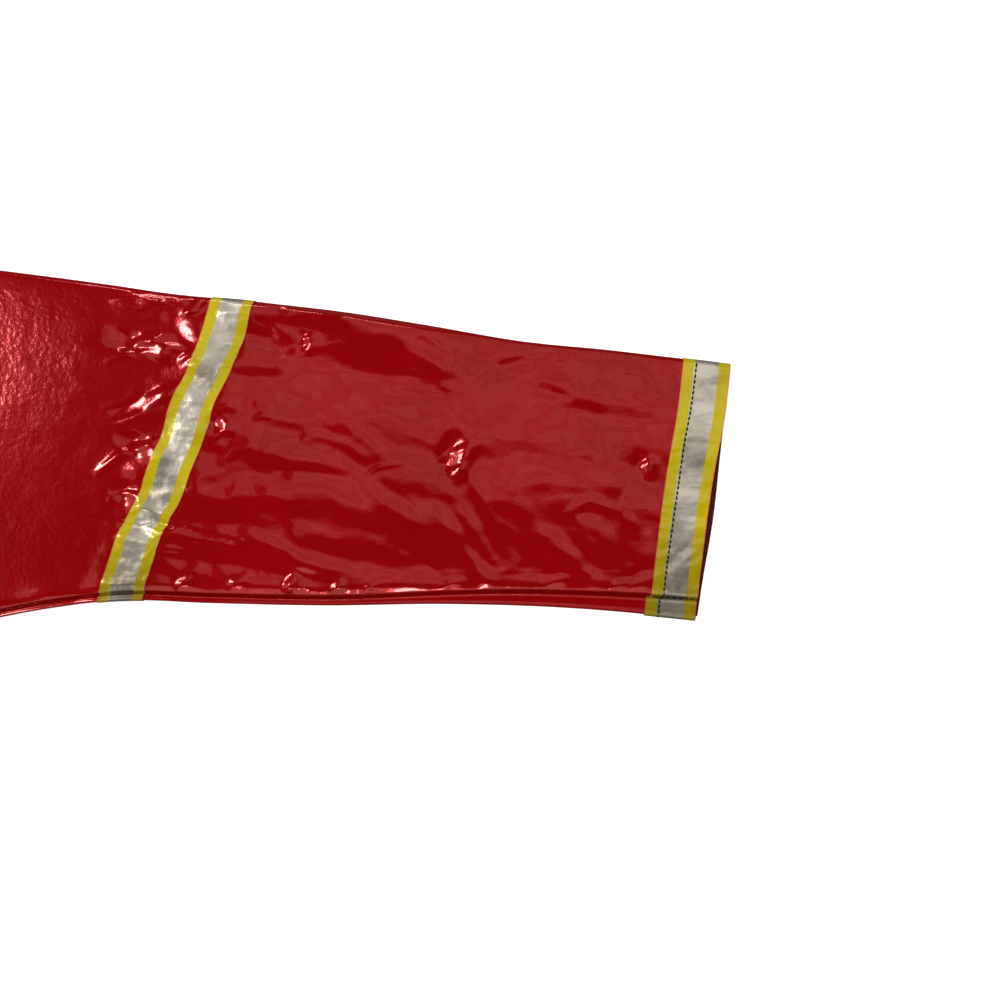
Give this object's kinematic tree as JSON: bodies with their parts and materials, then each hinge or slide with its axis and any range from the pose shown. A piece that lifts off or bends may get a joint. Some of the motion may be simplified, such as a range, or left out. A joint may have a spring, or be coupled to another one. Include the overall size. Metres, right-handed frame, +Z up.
{
  "type": "raincoat",
  "caption": "Child's glossy red raincoat in firefighter style, closed and laid flat, with reflective tape round each sleeve.",
  "frame": {"origin": "middle of the laid coat's outline, on the surface that it lies on", "axes": "+X along the sleeves towards the wearer's left, +Y from hem to collar, +Z up from the surface, out of the coat's front"},
  "size_m": [1.057, 0.643, 0.0092],
  "materials": {
    "vinyl": "deep red glossy vinyl coated cloth with soft creases",
    "tape": "reflective sewn tape, silver grey with a yellow edge on each side",
    "stud": "plain domed press-stud caps"
  },
  "bodies": {
    "root": {"back": "vinyl", "front_right": "vinyl", "front_left": "vinyl", "collar": "vinyl", "sleeve_left": "vinyl", "band_tape_left": "tape", "cuff_tape_left": "tape", "sleeve_right": "vinyl", "band_tape_right": "tape", "cuff_tape_right": "tape", "stud_1": "stud", "stud_2": "stud", "stud_3": "stud", "stud_4": "stud", "stud_5": "stud"}
  },
  "joints": []
}
